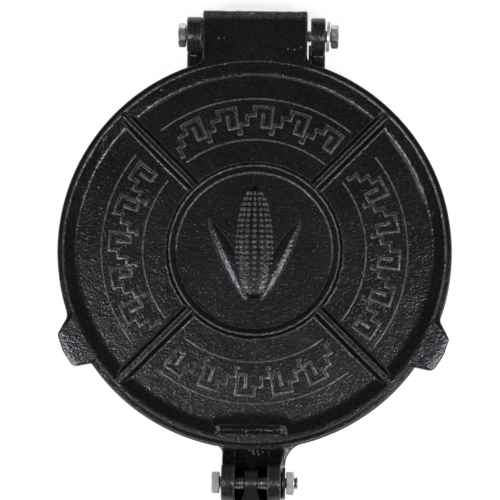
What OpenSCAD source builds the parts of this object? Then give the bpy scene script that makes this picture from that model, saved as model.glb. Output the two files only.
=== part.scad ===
// Cast-iron tortilla press: two round plates on a rear hinge, pressed shut by a front lever.
// The origin is on the table, under the middle of the plates. +X right, +Y to the hinge, +Z up.

/* [Plates] */
// Radius of the top plate
plate_r = 101.6; // [94:0.2:112]
// How far the base plate stands out past the top plate
base_overhang = 0.8; // [0.2:0.1:2]
// Height of the top plate's rim above its pressing face
lid_h = 9.5; // [8.5:0.5:14]
// Height of the base plate's skirt, from its lower edge to the pressing face
base_h = 11; // [9:0.5:16]
// Thickness of the base plate behind the pressing face
base_floor_t = 5.5; // [4:0.5:7]
// Gap between the closed pressing faces
plate_gap = 0.3; // [0.2:0.1:1]
// Broken outer edges of both plates
edge_break = 1.2; // [0.5:0.1:2]

/* [Top plate relief] */
// Flat width of the raised rim
rim_w = 4.1; // [3:0.1:6]
// Width of the slope from the rim down to the panels
rim_slope_w = 6.5; // [4:0.5:9]
// Depth of the panels below the rim
panel_depth = 3.5; // [2:0.1:4.5]
// Middle radius of the raised ring round the medallion
ring_r = 44.6; // [38:0.2:50]
// Flat width of the ring
ring_w = 1.8; // [1.4:0.1:3]
// Width of the ring's outer slope
ring_out_slope_w = 1.8; // [1:0.1:3]
// Width of the ring's inner slope
ring_in_slope_w = 3.6; // [2:0.1:5]
// Depth of the medallion below the ring
medallion_depth = 3; // [2:0.1:4.5]
// Flat width of the four ribs
rib_w = 2.3; // [1.6:0.1:4]
// Width of each slope of a rib
rib_slope_w = 3; // [2:0.1:4]
// How far the crossing of the ribs lies behind the plate's middle
rib_cross_y = 2; // [0:0.1:3]

/* [Panel ornament] */
// Radius of the inner raised line in each panel
line_in_r = 56.5; // [54:0.5:59]
// Radius of the outer raised line in each panel
line_out_r = 80.5; // [78:0.5:84]
// Width of the raised lines
line_w = 1.4; // [1:0.1:2]
// Height of the ornament above the panel
ornament_h = 1.4; // [0.8:0.1:2]
// Angle that the ornament spans in each panel
ornament_span = 70; // [60:1:72]
// Number of stepped motifs in each panel
motif_count = 5; // [3:1:6]
// Height of one step of a motif, along the radius
step_r = 4.2; // [3:0.1:4.6]
// Length of one step of a motif, round the panel
step_w = 4.4; // [3:0.1:4.6]
// Gap between the inner line and the motifs
motif_in = 1.6; // [1:0.1:2]
// Angle of the band that holds no motifs
band_end_turn = 12; // [8:1:16]

/* [Medallion ornament] */
// Length of the maize ear
ear_len = 46; // [36:1:52]
// Width of the maize ear
ear_w = 15; // [12:0.5:18]
// Length of a husk leaf
leaf_len = 44; // [34:1:48]
// Width of a husk leaf
leaf_w = 9; // [6:0.5:12]
// Angle between a husk leaf and the ear
leaf_turn = 24; // [18:1:30]
// Height of the husk leaves above the medallion
leaf_h = 1; // [0.6:0.1:1.4]
// How far the ear's middle lies behind the plate's middle
ear_up = 3; // [0:0.5:5]
// How far the leaves' middles lie in front of the plate's middle
leaf_down = 5; // [3:0.5:8]

/* [Cam bar] */
// Length of the bar that the lever presses on
cam_bar_len = 37; // [30:0.5:44]
// Width of the bar
cam_bar_w = 5; // [4:0.2:7]
// Height of the bar above the rim
cam_bar_h = 2.5; // [1.5:0.1:4]
// Distance of the bar inside the plate's front edge
cam_bar_in = 9; // [7:0.2:11]

/* [Lifting tabs] */
// How far a tab stands out past the rim
tab_reach = 8; // [5:0.5:11]
// Angle of a tab in front of the plate's left or right
tab_turn = 28.3; // [22:0.1:34]
// Width of a tab at its outer end
tab_tip_w = 17.4; // [13:0.2:20]
// Width of a tab at its root
tab_root_w = 26.6; // [22:0.2:32]
// Height of a tab's underside above the pressing face
tab_rise = 2; // [1:0.5:5]
// Rounding of a tab's outer corners
tab_edge_r = 2.5; // [1.5:0.5:4]
// How much a tab narrows on each side within the rim
tab_taper = 1.5; // [1:0.5:3]

/* [Rear hinge] */
// Distance of the hinge bolt behind the plate's rear edge
hinge_back = 11.3; // [10:0.1:12.5]
// Height of the hinge bolt below the top of the rim
hinge_drop = 8; // [7:0.1:9]
// Width of the top plate's hinge block
block_w = 53.5; // [44:0.5:60]
// How far the block reaches behind the bolt
block_reach = 12.6; // [10.6:0.2:13.4]
// How far the block reaches below the bolt
block_below = 8; // [6.5:0.1:8.5]
// Rounding of the block's rear edges
block_edge_r = 4; // [2:0.5:6]
// Fillets between the block and the rim
block_fillet_r = 4.5; // [3:0.5:6]
// Gap between the block and each hinge ear
block_gap = 2.1; // [1:0.1:2.5]
// Thickness of a hinge ear
hinge_ear_t = 6.9; // [5.5:0.1:9]
// Radius of a hinge ear round the bolt
hinge_ear_r = 9.75; // [8.5:0.05:10.5]
// Gap between the base plate and the block as it swings
swing_gap = 0.8; // [0.4:0.1:1.5]
// Gap between the block and the broader root of each hinge ear
root_gap = 0.6; // [0.3:0.1:0.8]
// Height of the broader root above the skirt's edge
root_h = 4; // [3:0.5:5]
// How far the broader root stops short of the bolt
root_in = 6; // [4:0.5:7]

/* [Front fork] */
// Distance of the lever's pivot in front of the plate's front edge
pivot_front = 17.6; // [15:0.2:22]
// Height of the lever's pivot below the top of the rim
pivot_drop = 0.8; // [0:0.1:2.5]
// Clear width between the fork's ears
fork_gap = 16.3; // [14.5:0.1:20]
// Thickness of a fork ear
fork_ear_t = 7.15; // [5.5:0.05:9]
// Radius of a fork ear round the pivot
fork_ear_r = 9.75; // [8.5:0.05:11]
// Fillet at the fork's right root
fork_fillet_right = 12; // [6:0.5:16]
// Fillet at the fork's left root
fork_fillet_left = 4; // [2:0.5:16]
// Thickness of the fork's floor
fork_floor_t = 5.2; // [4:0.1:6]
// Rounding of the fork's lower front edge
fork_nose_r = 5; // [3:0.5:6]
// How far the fork's floor stands out past its right ear
fork_flare = 2; // [0:0.1:2.5]

/* [Lever] */
// Distance from the pivot to the lever's tip
lever_len = 200; // [170:1:210]
// Thickness of the lever's lug between the ears
lug_t = 7.1; // [6:0.1:9]
// Radius of the lug round the pivot
lug_r = 6.7; // [6:0.1:7.5]
// Angle round the lug at which the neck leaves it
lug_turn = 41; // [35:1:45]
// Distance from the pivot at which the lug starts to widen
shoulder = 3.7; // [3:0.1:4.5]
// Width of the neck as it leaves the fork
shoulder_w = 9.8; // [8:0.1:11]
// Distance from the pivot to the neck's full depth
neck_from = 11.4; // [10.4:0.2:13]
// Depth of the neck at the heel
neck_t = 12; // [10:0.5:13]
// Width of the neck
neck_w = 14; // [11.5:0.5:16]
// Distance from the pivot to the waist
waist = 90; // [75:1:100]
// Width of the waist
waist_w = 12.6; // [10:0.2:14]
// Width of the handle's broad end
handle_w = 19; // [15:0.5:24]
// Depth of the handle
handle_t = 11; // [9:0.5:14]
// Rounding of the pressing heel
heel_r = 7; // [5:0.5:9]
// How far the heel stands out of the neck
heel_rise = 1.4; // [1:0.1:2]
// Lift of the folded lever above the level, in degrees
folded_lift = 16; // [13:0.5:20]
// Gap between the folded lever's heel and the cam bar
heel_gap = 0.4; // [0.2:0.1:0.8]

/* [Bolts] */
// Diameter of both bolts
bolt_d = 6.35; // [6:0.05:6.6]
// Hexagon of heads and nuts, across the flats
hex_af = 11.1; // [10:0.1:12]
// Height of the bolt heads
head_h = 4; // [3.5:0.1:5]
// Height of the thin nuts
nut_h = 4; // [3.5:0.1:5.6]
// Outer diameter of the washers
washer_d = 15.9; // [13:0.1:18]
// Thickness of the washers
washer_t = 1.6; // [1:0.1:2]
// Running clearance round the bolts, on the radius
bolt_clear = 0.08; // [0.03:0.01:0.1]
// Clearance inside the washers, on the radius
washer_clear = 0.25; // [0.1:0.05:0.4]
// Play between the hinge bolt's head and its ear
hinge_head_play = 1.4; // [0.2:0.1:2]
// Play between the pivot bolt's head and its ear
pivot_head_play = 0.8; // [0.2:0.1:2]
// Play on each side of a washer
washer_play = 0.5; // [0.1:0.1:0.8]
// How far the bolts stand out of their nuts
bolt_end = 1.8; // [0.5:0.1:4]
// Turn of the hinge bolt's head, in degrees
hinge_head_turn = 5; // [0:1:59]
// Turn of the hinge nut, in degrees
hinge_nut_turn = 30; // [0:1:59]
// Turn of the pivot bolt's head, in degrees
pivot_head_turn = 0; // [0:1:59]
// Turn of the pivot nut, in degrees
pivot_nut_turn = 22; // [0:1:59]

/* [Feet] */
// Height of the feet below the skirt
foot_h = 13; // [8:0.5:18]
// Radius of a foot where it stands
foot_r = 6.5; // [5:0.5:9]
// How much a foot widens up to the plate
foot_flare = 2.5; // [1:0.5:4]
// Distance of the feet's middles inside the plate's edge
foot_in = 15.6; // [13.5:0.5:24]

/* [Underside] */
// Width of the skirt's wall
skirt_w = 8; // [6:0.5:10]
// How much the skirt's wall thins to its lower edge
skirt_draft = 1; // [0.5:0.1:2]
// Width of the ribs under the base plate
under_rib_w = 5; // [4:0.5:8]
// How far the ribs stop short of the skirt's lower edge
under_rib_up = 2; // [1:0.5:4]
// Outer radius of the ring where the ribs meet
under_ring_r = 34; // [26:1:42]

/* [Hidden] */
$fn = 96;
over = 1;
arc_steps = 8;
ear_steps = 18;
blend = 0.2;
step_lap = 0.4;
tip_trim = 0.5;
tip_clear = 0.3;
diagonals = [45:90:315];

base_r = plate_r + base_overhang;
base_top_z = foot_h + base_h;
lid_z = base_top_z + plate_gap;
rim_z = lid_z + lid_h;
panel_z = rim_z - panel_depth;
medallion_z = rim_z - medallion_depth;
rim_in_r = plate_r - rim_w;
panel_r = rim_in_r - rim_slope_w;

hinge_y = plate_r + hinge_back;
hinge_z = rim_z - hinge_drop;
block_z = hinge_z - block_below;
block_end_y = hinge_y + block_reach;
hinge_ear_x = block_w / 2 + block_gap;
hinge_out_x = hinge_ear_x + hinge_ear_t;
corner_reach = max(block_below, hinge_drop) - block_edge_r;
swing_r = norm([block_reach - block_edge_r, corner_reach]) + block_edge_r + swing_gap;
block_front_y = hinge_y - sqrt(pow(swing_r - swing_gap, 2) - pow(hinge_z - lid_z, 2));
skirt_z = foot_h + edge_break;
ear_low_z = skirt_z + over;

pivot_y = plate_r + pivot_front;
pivot_z = rim_z - pivot_drop;
fork_ear_x = fork_gap / 2;
fork_out_x = fork_ear_x + fork_ear_t;

bolt_r = bolt_d / 2;
hole_r = bolt_r + bolt_clear;

cam_bar_y = plate_r - cam_bar_in;
cam_bar_z = rim_z + cam_bar_h;
cam_dy = pivot_y - cam_bar_y;
cam_dz = cam_bar_z - pivot_z + heel_gap + heel_r;
heel_u = cam_dy * cos(folded_lift) + cam_dz * sin(folded_lift);
heel_p = cam_dy * sin(folded_lift) - cam_dz * cos(folded_lift);
heel_turn = asin((heel_r - heel_rise) / heel_r);
neck_top = heel_p + heel_r - heel_rise;
neck_to = heel_u + 2 * heel_r;
rest_drop = asin((pivot_z - tip_clear - handle_t / 2) / (lever_len - handle_t / 2));

iron = [0.10, 0.10, 0.11];
black_paint = [0.06, 0.06, 0.065];
zinc = [0.72, 0.73, 0.75];

// Points of an arc round a centre, from one angle to another
function arc(centre, r, from, to, steps = arc_steps) = [
  for (i = [0:steps])
    let (turn = from + (to - from) * i / steps)
      centre + r * [cos(turn), sin(turn)]
];

// An outline in Y and Z, given thickness from one X to another
module along_x(from_x, to_x) {
  translate([from_x, 0, 0])
    rotate([90, 0, 90])
      linear_extrude(to_x - from_x)
        children();
}

// A hole along X through a point in Y and Z
module hole_x(y, z, r, half_len) {
  translate([-half_len, y, z])
    rotate([0, 90, 0])
      cylinder(r = r, h = 2 * half_len);
}

// Lens-shaped outline of a given length and width, upright
module lens(len, width) {
  r = (len * len / 4 + width * width / 4) / width;
  reach = asin(len / 2 / r);
  polygon(concat(
    arc([width / 2 - r, 0], r, -reach, reach),
    arc([r - width / 2, 0], r, 180 - reach + tip_trim, 180 + reach - tip_trim)
  ));
}

// ---- Base plate ----

module base_disc() {
  rotate_extrude()
    polygon([
      [0, base_top_z - base_floor_t],
      [base_r - skirt_w, base_top_z - base_floor_t],
      [base_r - skirt_w + skirt_draft, foot_h],
      [base_r - edge_break, foot_h],
      [base_r, skirt_z],
      [base_r, base_top_z - edge_break],
      [base_r - edge_break, base_top_z],
      [0, base_top_z]
    ]);
}

module under_ribs() {
  h = base_h - base_floor_t - under_rib_up + over;
  translate([0, 0, foot_h + under_rib_up]) {
    difference() {
      cylinder(r = under_ring_r, h = h);
      translate([0, 0, -over])
        cylinder(r = under_ring_r - under_rib_w, h = h + 2 * over);
    }
    for (turn = diagonals)
      rotate([0, 0, turn])
        translate([under_ring_r - under_rib_w / 2, -under_rib_w / 2, 0])
          cube([base_r - skirt_w / 2 - under_ring_r + under_rib_w / 2, under_rib_w, h]);
  }
}

module feet() {
  h = foot_h + base_h - base_floor_t + over;
  for (turn = diagonals)
    rotate([0, 0, turn])
      translate([plate_r - foot_in, 0, 0])
        cylinder(r1 = foot_r, r2 = foot_r + foot_flare, h = h);
}

// Side view of a hinge ear: round the bolt, and down to the skirt
module hinge_ear_outline() {
  drop = base_top_z - hinge_z;
  front = 180 - asin(drop / hinge_ear_r);
  root_y = sqrt(pow(base_r - skirt_w / 2, 2) - pow(hinge_out_x, 2)) - over;
  polygon(concat(
    [[root_y, ear_low_z]],
    [[root_y + skirt_w, ear_low_z]],
    arc([hinge_y, hinge_z], hinge_ear_r, -75, front, ear_steps),
    [[root_y, base_top_z]]
  ));
}

// Broader root of a hinge ear, low down beside the block
module hinge_ear_root() {
  along_x(block_w / 2 + root_gap, hinge_ear_x + over)
    intersection() {
      hinge_ear_outline();
      square([hinge_y - root_in, skirt_z + root_h]);
    }
}

// Side view of a fork ear: round the pivot, and down to the fork's floor
module fork_ear_outline() {
  root_y = -(base_r - skirt_w / 2);
  nose_y = -(pivot_y + fork_ear_r);
  polygon(concat(
    [[root_y, ear_low_z]],
    [[root_y, base_top_z]],
    [[-(base_r + edge_break), base_top_z]],
    arc([-pivot_y, pivot_z], fork_ear_r, -25, 180, ear_steps),
    arc([nose_y + fork_nose_r, ear_low_z + fork_nose_r], fork_nose_r, 180, 270)
  ));
}

// Floor of the fork, which joins its ears under the lever
module fork_floor() {
  along_x(-fork_out_x + over, fork_out_x + fork_flare)
    intersection() {
      fork_ear_outline();
      translate([-(pivot_y + 2 * fork_ear_r), 0])
        square([pivot_y + fork_ear_r, ear_low_z + fork_floor_t]);
    }
}

// Plan of one fillet between the fork's side and the base plate's edge, on the right
module fork_fillet_outline(r, flare) {
  centre_x = fork_out_x + flare + r;
  centre_y = -sqrt(pow(base_r - blend + r, 2) - pow(centre_x, 2));
  rim_turn = atan2(-centre_y, -centre_x);
  polygon(concat(
    [[fork_out_x - over, centre_y]],
    arc([centre_x, centre_y], r, 180, rim_turn),
    [[centre_x, -(base_r - skirt_w)]],
    [[fork_out_x - over, -(base_r - skirt_w)]]
  ));
}

module fork_fillet(r, flare) {
  translate([0, 0, ear_low_z])
    linear_extrude(base_top_z - edge_break - ear_low_z)
      fork_fillet_outline(r, flare);
}

module base_plate() {
  color(iron)
    difference() {
      union() {
        base_disc();
        under_ribs();
        feet();
        for (side = [0, 1])
          mirror([side, 0, 0]) {
            along_x(hinge_ear_x, hinge_out_x)
              hinge_ear_outline();
            hinge_ear_root();
            along_x(fork_ear_x, fork_out_x)
              fork_ear_outline();
          }
        fork_floor();
        fork_fillet(fork_fillet_right, fork_flare);
        mirror([1, 0, 0])
          fork_fillet(fork_fillet_left, 0);
      }
      hole_x(hinge_y, hinge_z, swing_r, block_w / 2 + root_gap);
      hole_x(hinge_y, hinge_z, hole_r, hinge_out_x + over);
      hole_x(-pivot_y, pivot_z, hole_r, fork_out_x + over);
    }
}

// ---- Top plate ----

module lid_disc() {
  rotate_extrude()
    polygon([
      [0, lid_z],
      [plate_r - edge_break, lid_z],
      [plate_r, lid_z + edge_break],
      [plate_r, rim_z - edge_break],
      [plate_r - edge_break, rim_z],
      [rim_in_r, rim_z],
      [panel_r, panel_z],
      [ring_r + ring_w / 2 + ring_out_slope_w, panel_z],
      [ring_r + ring_w / 2, rim_z],
      [ring_r - ring_w / 2, rim_z],
      [ring_r - ring_w / 2 - ring_in_slope_w, medallion_z],
      [0, medallion_z]
    ]);
}

module lid_ribs() {
  root = panel_depth + over;
  foot = rib_w / 2 + rib_slope_w * root / panel_depth;
  intersection() {
    translate([0, rib_cross_y, rim_z])
      for (turn = diagonals)
        rotate([0, 0, turn])
          rotate([90, 0, 90])
            linear_extrude(plate_r)
              polygon([[-foot, -root], [foot, -root], [rib_w / 2, 0], [-rib_w / 2, 0]]);
    translate([0, 0, lid_z + over])
      difference() {
        cylinder(r = rim_in_r + rim_w / 2, h = lid_h);
        translate([0, 0, -over])
          cylinder(r = ring_r, h = lid_h + 2 * over);
      }
  }
}

// Outline of the hinge block seen from the side
module block_side() {
  polygon(concat(
    [[plate_r - skirt_w, lid_z]],
    [[block_front_y, lid_z]],
    [[hinge_y - block_below, block_z]],
    arc([block_end_y - block_edge_r, block_z + block_edge_r], block_edge_r, -90, 0),
    arc([block_end_y - block_edge_r, rim_z - block_edge_r], block_edge_r, 0, 90),
    [[plate_r - skirt_w, rim_z]]
  ));
}

// Plan of the hinge block with its two fillets to the rim
module block_plan() {
  centre_x = block_w / 2 + block_fillet_r;
  centre_y = sqrt(pow(plate_r - blend + block_fillet_r, 2) - pow(centre_x, 2));
  rim_turn = atan2(-centre_y, -centre_x);
  right = concat(
    [[block_w / 2, block_end_y + over]],
    arc([centre_x, centre_y], block_fillet_r, -180, rim_turn),
    [[centre_x, plate_r - skirt_w]]
  );
  polygon(concat(right, [for (i = [len(right) - 1:-1:0]) [-right[i][0], right[i][1]]]));
}

module hinge_block() {
  intersection() {
    along_x(-block_w, block_w)
      block_side();
    translate([0, 0, block_z - over])
      linear_extrude(rim_z - block_z + 2 * over)
        block_plan();
  }
}

module lifting_tab() {
  tip_x = plate_r + tab_reach - tab_edge_r;
  tip_y = tab_tip_w / 2 - tab_edge_r;
  edge_y = tab_root_w / 2 - tab_taper;
  translate([0, 0, lid_z + tab_rise])
    rotate([0, 0, -tab_turn])
      linear_extrude(lid_h - tab_rise)
        polygon(concat(
          [[plate_r - rim_w, -tab_root_w / 2]],
          [[plate_r, -edge_y]],
          arc([tip_x, -tip_y], tab_edge_r, -60, 0),
          arc([tip_x, tip_y], tab_edge_r, 0, 60),
          [[plate_r, edge_y]],
          [[plate_r - rim_w, tab_root_w / 2]]
        ));
}

module cam_bar() {
  end_x = (cam_bar_len - cam_bar_w) / 2;
  translate([0, -cam_bar_y, panel_z - over])
    linear_extrude(cam_bar_z - panel_z + over)
      polygon(concat(
        arc([end_x, 0], cam_bar_w / 2, -90, 90),
        arc([-end_x, 0], cam_bar_w / 2, 90, 270)
      ));
}

// A raised line round part of a panel
module panel_line(r) {
  rotate([0, 0, -ornament_span / 2])
    rotate_extrude(angle = ornament_span)
      translate([r - line_w / 2, panel_z - over])
        square([line_w, ornament_h + over]);
}

// Three blocks rising like a stair, one motif of the band
module stepped_motif() {
  foot_x = line_in_r + line_w / 2 + motif_in;
  translate([foot_x, 0, panel_z - over])
    for (i = [0:2])
      translate([i * step_r, (i - 1) * step_w - step_w / 2, 0])
        cube([step_r + step_lap, 2 * step_w, ornament_h + over]);
}

module panel_ornament() {
  panel_line(line_in_r);
  panel_line(line_out_r);
  pitch = (ornament_span - band_end_turn) / motif_count;
  for (i = [0:motif_count - 1])
    rotate([0, 0, (i - (motif_count - 1) / 2) * pitch])
      stepped_motif();
}

// An ear of maize between two husk leaves
module maize_ear() {
  translate([0, 0, medallion_z - over])
    linear_extrude(ornament_h + over)
      translate([0, ear_up])
        lens(ear_len, ear_w);
  for (side = [-1, 1])
    translate([side * leaf_w, -leaf_down, medallion_z - over])
      rotate([0, 0, -side * leaf_turn])
        linear_extrude(leaf_h + over)
          lens(leaf_len, leaf_w);
}

module top_plate() {
  color(iron)
    difference() {
      union() {
        lid_disc();
        lid_ribs();
        hinge_block();
        lifting_tab();
        mirror([1, 0, 0])
          lifting_tab();
        cam_bar();
        for (turn = [0:90:270])
          rotate([0, 0, turn])
            panel_ornament();
        maize_ear();
      }
      hole_x(hinge_y, hinge_z, hole_r, block_w / 2 + over);
    }
}

// ---- Lever ----

// Side view: along the lever from the pivot, and towards the side that presses
module lever_side() {
  top = handle_t / 2;
  polygon(concat(
    [[0, over - lug_r], [0, lug_r - over]],
    [lug_r * [cos(lug_turn), sin(lug_turn)]],
    [[neck_from, neck_top]],
    arc([heel_u, heel_p], heel_r, 180 - heel_turn, heel_turn),
    [[neck_to, neck_top]],
    [[lever_len / 2, top]],
    arc([lever_len - top, 0], top, 90, -90),
    [[lever_len / 2, -top]],
    [[heel_u, neck_top - neck_t]],
    [[neck_from, -lug_r]]
  ));
}

// Plan: along the lever from the pivot, and its half widths
module lever_plan() {
  half = [
    [-lug_r, lug_t / 2],
    [shoulder, lug_t / 2],
    [fork_ear_r, shoulder_w / 2],
    [heel_u - heel_r, neck_w / 2],
    [neck_to, neck_w / 2],
    [waist, waist_w / 2]
  ];
  end = arc([lever_len - handle_w / 2, 0], handle_w / 2, 90, -90);
  polygon(concat(
    half,
    end,
    [for (i = [len(half) - 1:-1:0]) [half[i][0], -half[i][1]]]
  ));
}

module lever_shape() {
  intersection() {
    along_x(-handle_w, handle_w)
      mirror([1, 0])
        lever_side();
    translate([0, 0, -2 * handle_t])
      rotate([0, 0, -90])
        linear_extrude(4 * handle_t)
          lever_plan();
  }
  hole_x(0, 0, lug_r, lug_t / 2);
}

module lever() {
  color(black_paint)
    translate([0, -pivot_y, pivot_z])
      rotate([rest_drop, 0, 0])
        difference() {
          lever_shape();
          hole_x(0, 0, hole_r, neck_w);
        }
}

// ---- Bolts, washers and nuts ----

module hexagon(h) {
  cylinder(d = hex_af / cos(30), h = h, $fn = 6);
}

// A bolt along X with its head on the left, for a joint that is out_x wide on each side
module bolt(y, z, out_x, head_play, head_turn) {
  head_x = -(out_x + head_play);
  end_x = out_x + washer_t + 2 * washer_play + nut_h + bolt_end;
  translate([head_x, y, z])
    rotate([0, 90, 0]) {
      cylinder(r = bolt_r, h = end_x - head_x);
      rotate([0, 0, head_turn])
        translate([0, 0, -head_h])
          hexagon(head_h);
    }
}

module washer(y, z, out_x) {
  translate([out_x + washer_play, y, z])
    rotate([0, 90, 0])
      difference() {
        cylinder(d = washer_d, h = washer_t);
        translate([0, 0, -over])
          cylinder(r = bolt_r + washer_clear, h = washer_t + 2 * over);
      }
}

module nut(y, z, out_x, turn) {
  translate([out_x + washer_t + 2 * washer_play, y, z])
    rotate([0, 90, 0])
      difference() {
        rotate([0, 0, turn])
          hexagon(nut_h);
        translate([0, 0, -over])
          cylinder(r = bolt_r + bolt_clear, h = nut_h + 2 * over);
      }
}

module hinge_bolt() {
  color(zinc)
    bolt(hinge_y, hinge_z, hinge_out_x, hinge_head_play, hinge_head_turn);
}

module hinge_washer() {
  color(zinc)
    washer(hinge_y, hinge_z, hinge_out_x);
}

module hinge_nut() {
  color(zinc)
    nut(hinge_y, hinge_z, hinge_out_x, hinge_nut_turn);
}

module pivot_bolt() {
  color(zinc)
    bolt(-pivot_y, pivot_z, fork_out_x, pivot_head_play, pivot_head_turn);
}

module pivot_washer() {
  color(black_paint)
    washer(-pivot_y, pivot_z, fork_out_x);
}

module pivot_nut() {
  color(zinc)
    nut(-pivot_y, pivot_z, fork_out_x, pivot_nut_turn);
}

base_plate();
top_plate();
lever();
hinge_bolt();
hinge_washer();
hinge_nut();
pivot_bolt();
pivot_washer();
pivot_nut();
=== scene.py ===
from math import asin, atan2, ceil, cos, degrees, hypot, pi, radians, sin, sqrt, tan

import bmesh
import bpy
from mathutils import Matrix, Vector, noise


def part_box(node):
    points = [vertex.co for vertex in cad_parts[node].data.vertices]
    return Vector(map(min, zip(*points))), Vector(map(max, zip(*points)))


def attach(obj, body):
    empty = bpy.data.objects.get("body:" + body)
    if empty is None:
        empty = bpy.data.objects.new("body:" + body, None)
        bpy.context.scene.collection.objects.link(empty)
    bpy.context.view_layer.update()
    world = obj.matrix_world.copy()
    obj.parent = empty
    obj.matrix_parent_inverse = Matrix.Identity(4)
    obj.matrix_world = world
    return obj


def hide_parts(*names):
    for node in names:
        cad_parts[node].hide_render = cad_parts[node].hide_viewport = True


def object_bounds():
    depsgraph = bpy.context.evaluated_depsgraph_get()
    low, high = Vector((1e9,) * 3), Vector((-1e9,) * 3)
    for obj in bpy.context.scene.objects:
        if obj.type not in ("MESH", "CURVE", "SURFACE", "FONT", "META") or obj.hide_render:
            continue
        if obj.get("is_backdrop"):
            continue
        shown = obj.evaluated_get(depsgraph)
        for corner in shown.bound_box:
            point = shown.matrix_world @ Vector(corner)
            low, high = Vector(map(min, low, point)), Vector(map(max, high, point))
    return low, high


# Sizes are millimetres in the press's frame; every mesh is brought to metres at its end.
MM = 0.001

# The noise vectors are drawn from this seed, so that every run casts the same lines
noise.seed_set(7)

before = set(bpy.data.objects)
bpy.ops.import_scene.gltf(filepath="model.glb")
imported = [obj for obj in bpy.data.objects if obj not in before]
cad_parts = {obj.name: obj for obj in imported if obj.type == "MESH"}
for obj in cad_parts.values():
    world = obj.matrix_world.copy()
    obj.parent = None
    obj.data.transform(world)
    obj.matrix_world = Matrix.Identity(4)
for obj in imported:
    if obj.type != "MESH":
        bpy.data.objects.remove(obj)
cad_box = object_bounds()


def low(node):
    return Vector(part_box(node)[0]) / MM


def high(node):
    return Vector(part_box(node)[1]) / MM


# ---- The castings' own sizes ----

PLATE_R = 101.6
LID_H = 9.5
PLATE_GAP = 0.3
FOOT_H = 13.0
FOOT_IN = 15.6
BASE_FLOOR_T = 5.5
SKIRT_W = 7.2
RIM_W = 3.5
RIM_SLOPE_W = 6.0
RIM_ROLL = 0.6
RIM_EDGE = 1.3
RIM_UNDER_EDGE = 1.1
PANEL_DEPTH = 3.5
MEDALLION_DEPTH = 3.0
RING_R = 43.7
RING_W = 0.9
RING_OUT_SLOPE = 1.6
RING_IN_SLOPE = 2.9
RIB_W = 2.5
RIB_SLOPE = 2.3
RIB_TWIST = 0.45
RIB_CROSS_Y = 2.0
RIB_TURNS = (-45, 45, 135, 225)
BLOCK_LEFT = 28.35
BLOCK_RIGHT = 26.2
BLOCK_REACH = 12.6
BLOCK_BELOW = 8.0
BLOCK_EDGE = 3.4
BLOCK_SLOPE_Y = 98.8
BLOCK_SLOPE_L = 4.0
EAR_R = 9.75
EAR_RISE = 2.2
EAR_EDGE = 1.1
HINGE_EARS = {-1: (28.45, 36.7), 1: (27.9, 35.6)}
ROOT_GAP = 0.6
FORK_EAR_IN = 8.15
FORK_EAR_OUT = 15.3
FORK_FLOOR_T = 5.2
FORK_NOSE = 5.0
FORK_FLARE = 2.0
CAM_BAR_Y = -92.6
CAM_BAR_HALF = 18.3
CAM_BAR_H = 2.5
BOLT_R = 3.175
BORE_R = BOLT_R + 0.1

# ---- Places read from the frame ----

LID_TOP = high("top_plate").z - CAM_BAR_H
LID_Z = LID_TOP - LID_H
BASE_TOP = LID_Z - PLATE_GAP
BASE_R = high("base_plate").x
HINGE_Y = (low("hinge_nut").y + high("hinge_nut").y) / 2
HINGE_Z = (low("hinge_nut").z + high("hinge_nut").z) / 2
PIVOT_Y = (low("pivot_nut").y + high("pivot_nut").y) / 2
PIVOT_Z = (low("pivot_nut").z + high("pivot_nut").z) / 2

BLOCK_END_Y = HINGE_Y + BLOCK_REACH
EAR_LOW = FOOT_H + EAR_RISE
FORK_NOSE_Y = PIVOT_Y - EAR_R
RIM_IN_R = PLATE_R - RIM_W
PANEL_R = RIM_IN_R - RIM_SLOPE_W
RIM_FOOT_R = PANEL_R - 0.8
RING_FOOT_R = RING_R - RING_W / 2 - RING_IN_SLOPE


# ---- Small tools ----


def soft_min(a, b, k):
    h = max(k - abs(a - b), 0.0) / k
    return min(a, b) - h * h * k / 4


def soft_max(a, b, k):
    return -soft_min(-a, -b, k)


def smooth_step(t):
    t = min(max(t, 0.0), 1.0)
    return t * t * (3 - 2 * t)


def within(value, middle, half, fade):
    """1 up to half away from a middle value, falling to 0 over the fade beyond it."""
    return 1 - smooth_step((abs(value - middle) - half) / fade)


def polar(r, turn):
    return Vector((r * cos(turn), r * sin(turn)))


def skin(rows, columns, place, closed=False):
    """A skin bent from a flat grid of rows by columns, each point laid by place(row, column).

    It narrows to a pole at each end, or, if closed, makes a ring with a hole through it.
    """
    bm = bmesh.new()
    runs = rows if closed else rows - 1
    bmesh.ops.create_grid(bm, x_segments=columns, y_segments=runs, size=1)
    laid = {}
    for v in bm.verts:
        column = round((v.co.x + 1) / 2 * columns) % columns
        row = round((v.co.y + 1) / 2 * runs) % rows
        if (row, column) not in laid:
            laid[row, column] = place(row, column)
        v.co = laid[row, column]
    bmesh.ops.remove_doubles(bm, verts=bm.verts, dist=1e-4)
    bmesh.ops.recalc_face_normals(bm, faces=bm.faces)
    return bm


def round_skin(rings, columns, middle=(0, 0), closed=False):
    """A skin turned about an upright axis, from rings of (radius, height)."""
    def place(row, column):
        r, z = rings[row]
        p = polar(r, 2 * pi * column / columns)
        return Vector((middle[0] + p.x, middle[1] + p.y, z))

    return skin(len(rings), columns, place, closed)


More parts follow.
